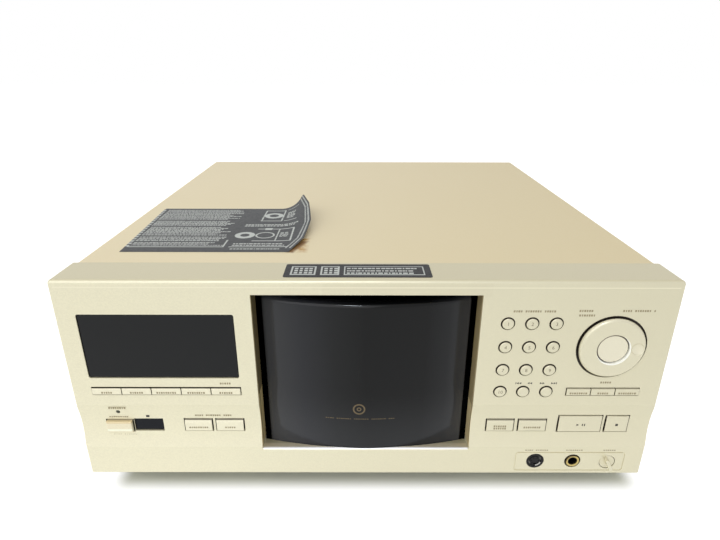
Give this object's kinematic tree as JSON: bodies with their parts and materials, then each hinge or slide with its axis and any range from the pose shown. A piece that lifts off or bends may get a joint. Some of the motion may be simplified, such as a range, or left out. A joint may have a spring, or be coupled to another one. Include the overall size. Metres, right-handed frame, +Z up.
{
  "type": "cd changer",
  "caption": "Wide file-type disc changer with a curved door, a rotating ring of upright disc slots and a standing player mechanism",
  "frame": {"origin": "middle of the object's footprint, on the surface its feet stand on", "axes": "+Z up, the face looks along -Y, +X to the right seen from the front"},
  "size_m": [0.42, 0.4356, 0.1891],
  "materials": {
    "panel_gold": "champagne metallic lacquer, satin",
    "cover_paint": "champagne paint, fine texture",
    "zinc_steel": "zinc plated",
    "mech_coat": "black coated steel",
    "door_smoke": "smoked, glossy",
    "window_smoke": "smoked, glossy",
    "foot_plastic": "matte",
    "socket_black": "moulded",
    "plated_nose": "gold plated",
    "board_resin": "solder resist",
    "rack_plastic": "moulded",
    "gear_plastic": "natural acetal",
    "motor_steel": "plated",
    "rod_steel": "ground",
    "sled_plastic": "moulded",
    "core_steel": "varnished",
    "screw_steel": "yellow zinc",
    "label_film": "printed film"
  },
  "bodies": {
    "cabinet": {"front_panel": "panel_gold", "display_window": "window_smoke", "sensor_window": "window_smoke", "top_cover": "cover_paint", "chassis_base": "zinc_steel", "rear_panel": "zinc_steel", "feet": "foot_plastic", "mech_chassis": "mech_coat", "spindle_motor": "motor_steel", "guide_rods": "rod_steel", "main_board": "board_resin", "transformer": "core_steel", "key_boards": "board_resin", "phones_jack": "plated_nose", "keyboard_socket": "socket_black", "rear_jacks": "socket_black", "cord_gland": "socket_black", "screws": "screw_steel", "cover_labels": "label_film", "drive_motors": "motor_steel"},
    "jog_dial": {"jog_dial": "panel_gold"},
    "level_knob": {"level_knob": "panel_gold"},
    "disc_door": {"disc_door": "door_smoke"},
    "door_pinion": {"door_pinion": "gear_plastic"},
    "disc_rack": {"disc_rack": "rack_plastic", "rack_dividers": "rack_plastic"},
    "rack_drive_gear": {"rack_drive_gear": "gear_plastic"},
    "turntable": {"turntable": "rack_plastic"},
    "pickup_sled": {"pickup_sled": "sled_plastic"},
    "sled_gear": {"sled_gear": "gear_plastic"},
    "clamp_arm": {"clamp_arm": "motor_steel"},
    "clamper": {"clamper": "rack_plastic"},
    "loading_lever": {"loading_lever": "gear_plastic"},
    "mode_key_1": {"mode_key_1": "panel_gold"},
    "mode_key_2": {"mode_key_2": "panel_gold"},
    "mode_key_3": {"mode_key_3": "panel_gold"},
    "mode_key_4": {"mode_key_4": "panel_gold"},
    "mode_key_5": {"mode_key_5": "panel_gold"},
    "title_key_1": {"title_key_1": "panel_gold"},
    "title_key_2": {"title_key_2": "panel_gold"},
    "title_key_3": {"title_key_3": "panel_gold"},
    "power_key": {"power_key": "panel_gold"},
    "loader_key_1": {"loader_key_1": "panel_gold"},
    "loader_key_2": {"loader_key_2": "panel_gold"},
    "track_key_1": {"track_key_1": "panel_gold"},
    "track_key_2": {"track_key_2": "panel_gold"},
    "play_key": {"play_key": "panel_gold"},
    "stop_key": {"stop_key": "panel_gold"},
    "number_key_1": {"number_key_1": "panel_gold"},
    "number_key_2": {"number_key_2": "panel_gold"},
    "number_key_3": {"number_key_3": "panel_gold"},
    "number_key_4": {"number_key_4": "panel_gold"},
    "number_key_5": {"number_key_5": "panel_gold"},
    "number_key_6": {"number_key_6": "panel_gold"},
    "number_key_7": {"number_key_7": "panel_gold"},
    "number_key_8": {"number_key_8": "panel_gold"},
    "number_key_9": {"number_key_9": "panel_gold"},
    "number_key_10": {"number_key_10": "panel_gold"},
    "number_key_11": {"number_key_11": "panel_gold"},
    "number_key_12": {"number_key_12": "panel_gold"}
  },
  "joints": [
    {"name": "jog_dial_turn", "type": "hinge", "parent": "cabinet", "child": "jog_dial", "pos_m": [0.1691, -0.2132, 0.1252], "axis": [0, -1, 0], "continuous": true},
    {"name": "level_knob_turn", "type": "hinge", "parent": "cabinet", "child": "level_knob", "pos_m": [0.1838, -0.2132, 0.0252], "axis": [0, -1, 0], "range_deg": [-150, 150]},
    {"name": "disc_door_swing", "type": "hinge", "parent": "cabinet", "child": "disc_door", "pos_m": [0, -0.0072, 0], "axis": [0, 0, 1], "range_deg": [0, 46]},
    {"name": "door_pinion_spin", "type": "hinge", "parent": "cabinet", "child": "door_pinion", "pos_m": [0.07803, -0.16719, 0.028], "axis": [0, 0, 1], "range_deg": [0, 960]},
    {"name": "disc_rack_turn", "type": "hinge", "parent": "cabinet", "child": "disc_rack", "pos_m": [0, -0.0072, 0.034], "axis": [0, 0, 1], "continuous": true},
    {"name": "rack_drive_spin", "type": "hinge", "parent": "cabinet", "child": "rack_drive_gear", "pos_m": [-0.066, -0.0072, 0.028], "axis": [0, 0, 1], "continuous": true},
    {"name": "turntable_spin", "type": "hinge", "parent": "cabinet", "child": "turntable", "pos_m": [0, -0.0072, 0.097], "axis": [1, 0, 0], "continuous": true},
    {"name": "pickup_travel", "type": "slide", "parent": "cabinet", "child": "pickup_sled", "axis": [0, 1, 0], "range_m": [0, 0.032]},
    {"name": "sled_gear_spin", "type": "hinge", "parent": "cabinet", "child": "sled_gear", "pos_m": [-0.018, 0.0288, 0.065], "axis": [1, 0, 0], "range_deg": [-232, 0]},
    {"name": "clamp_arm_open", "type": "hinge", "parent": "cabinet", "child": "clamp_arm", "pos_m": [0.014, -0.0072, 0.15], "axis": [0, -1, 0], "range_deg": [0, 12], "stiffness_Nm_per_rad": 0.05, "springref_deg": -11.46},
    {"name": "clamper_spin", "type": "hinge", "parent": "clamp_arm", "child": "clamper", "pos_m": [0.005, -0.0072, 0.097], "axis": [1, 0, 0], "continuous": true},
    {"name": "loading_lever_swing", "type": "hinge", "parent": "cabinet", "child": "loading_lever", "pos_m": [0.005, -0.0072, 0.02], "axis": [1, 0, 0], "range_deg": [0, 110]},
    {"name": "mode_key_1_press", "type": "slide", "parent": "cabinet", "child": "mode_key_1", "axis": [0, 1, 0], "range_m": [0, 0.0009], "stiffness_N_per_m": 400},
    {"name": "mode_key_2_press", "type": "slide", "parent": "cabinet", "child": "mode_key_2", "axis": [0, 1, 0], "range_m": [0, 0.0009], "stiffness_N_per_m": 400},
    {"name": "mode_key_3_press", "type": "slide", "parent": "cabinet", "child": "mode_key_3", "axis": [0, 1, 0], "range_m": [0, 0.0009], "stiffness_N_per_m": 400},
    {"name": "mode_key_4_press", "type": "slide", "parent": "cabinet", "child": "mode_key_4", "axis": [0, 1, 0], "range_m": [0, 0.0009], "stiffness_N_per_m": 400},
    {"name": "mode_key_5_press", "type": "slide", "parent": "cabinet", "child": "mode_key_5", "axis": [0, 1, 0], "range_m": [0, 0.0009], "stiffness_N_per_m": 400},
    {"name": "title_key_1_press", "type": "slide", "parent": "cabinet", "child": "title_key_1", "axis": [0, 1, 0], "range_m": [0, 0.0009], "stiffness_N_per_m": 400},
    {"name": "title_key_2_press", "type": "slide", "parent": "cabinet", "child": "title_key_2", "axis": [0, 1, 0], "range_m": [0, 0.0009], "stiffness_N_per_m": 400},
    {"name": "title_key_3_press", "type": "slide", "parent": "cabinet", "child": "title_key_3", "axis": [0, 1, 0], "range_m": [0, 0.0009], "stiffness_N_per_m": 400},
    {"name": "power_key_press", "type": "slide", "parent": "cabinet", "child": "power_key", "axis": [0, 1, 0], "range_m": [0, 0.0009], "stiffness_N_per_m": 400},
    {"name": "loader_key_1_press", "type": "slide", "parent": "cabinet", "child": "loader_key_1", "axis": [0, 1, 0], "range_m": [0, 0.0009], "stiffness_N_per_m": 400},
    {"name": "loader_key_2_press", "type": "slide", "parent": "cabinet", "child": "loader_key_2", "axis": [0, 1, 0], "range_m": [0, 0.0009], "stiffness_N_per_m": 400},
    {"name": "track_key_1_press", "type": "slide", "parent": "cabinet", "child": "track_key_1", "axis": [0, 1, 0], "range_m": [0, 0.0009], "stiffness_N_per_m": 400},
    {"name": "track_key_2_press", "type": "slide", "parent": "cabinet", "child": "track_key_2", "axis": [0, 1, 0], "range_m": [0, 0.0009], "stiffness_N_per_m": 400},
    {"name": "play_key_press", "type": "slide", "parent": "cabinet", "child": "play_key", "axis": [0, 1, 0], "range_m": [0, 0.0009], "stiffness_N_per_m": 400},
    {"name": "stop_key_press", "type": "slide", "parent": "cabinet", "child": "stop_key", "axis": [0, 1, 0], "range_m": [0, 0.0009], "stiffness_N_per_m": 400},
    {"name": "number_key_1_press", "type": "slide", "parent": "cabinet", "child": "number_key_1", "axis": [0, 1, 0], "range_m": [0, 0.0009], "stiffness_N_per_m": 400},
    {"name": "number_key_2_press", "type": "slide", "parent": "cabinet", "child": "number_key_2", "axis": [0, 1, 0], "range_m": [0, 0.0009], "stiffness_N_per_m": 400},
    {"name": "number_key_3_press", "type": "slide", "parent": "cabinet", "child": "number_key_3", "axis": [0, 1, 0], "range_m": [0, 0.0009], "stiffness_N_per_m": 400},
    {"name": "number_key_4_press", "type": "slide", "parent": "cabinet", "child": "number_key_4", "axis": [0, 1, 0], "range_m": [0, 0.0009], "stiffness_N_per_m": 400},
    {"name": "number_key_5_press", "type": "slide", "parent": "cabinet", "child": "number_key_5", "axis": [0, 1, 0], "range_m": [0, 0.0009], "stiffness_N_per_m": 400},
    {"name": "number_key_6_press", "type": "slide", "parent": "cabinet", "child": "number_key_6", "axis": [0, 1, 0], "range_m": [0, 0.0009], "stiffness_N_per_m": 400},
    {"name": "number_key_7_press", "type": "slide", "parent": "cabinet", "child": "number_key_7", "axis": [0, 1, 0], "range_m": [0, 0.0009], "stiffness_N_per_m": 400},
    {"name": "number_key_8_press", "type": "slide", "parent": "cabinet", "child": "number_key_8", "axis": [0, 1, 0], "range_m": [0, 0.0009], "stiffness_N_per_m": 400},
    {"name": "number_key_9_press", "type": "slide", "parent": "cabinet", "child": "number_key_9", "axis": [0, 1, 0], "range_m": [0, 0.0009], "stiffness_N_per_m": 400},
    {"name": "number_key_10_press", "type": "slide", "parent": "cabinet", "child": "number_key_10", "axis": [0, 1, 0], "range_m": [0, 0.0009], "stiffness_N_per_m": 400},
    {"name": "number_key_11_press", "type": "slide", "parent": "cabinet", "child": "number_key_11", "axis": [0, 1, 0], "range_m": [0, 0.0009], "stiffness_N_per_m": 400},
    {"name": "number_key_12_press", "type": "slide", "parent": "cabinet", "child": "number_key_12", "axis": [0, 1, 0], "range_m": [0, 0.0009], "stiffness_N_per_m": 400}
  ],
  "couplings": [
    {"joint": "door_pinion_spin", "follows": "disc_door_swing", "ratio": 20.778},
    {"joint": "rack_drive_spin", "follows": "disc_rack_turn", "ratio": 6.5},
    {"joint": "sled_gear_spin", "follows": "pickup_travel", "rad_per_m": -125}
  ]
}
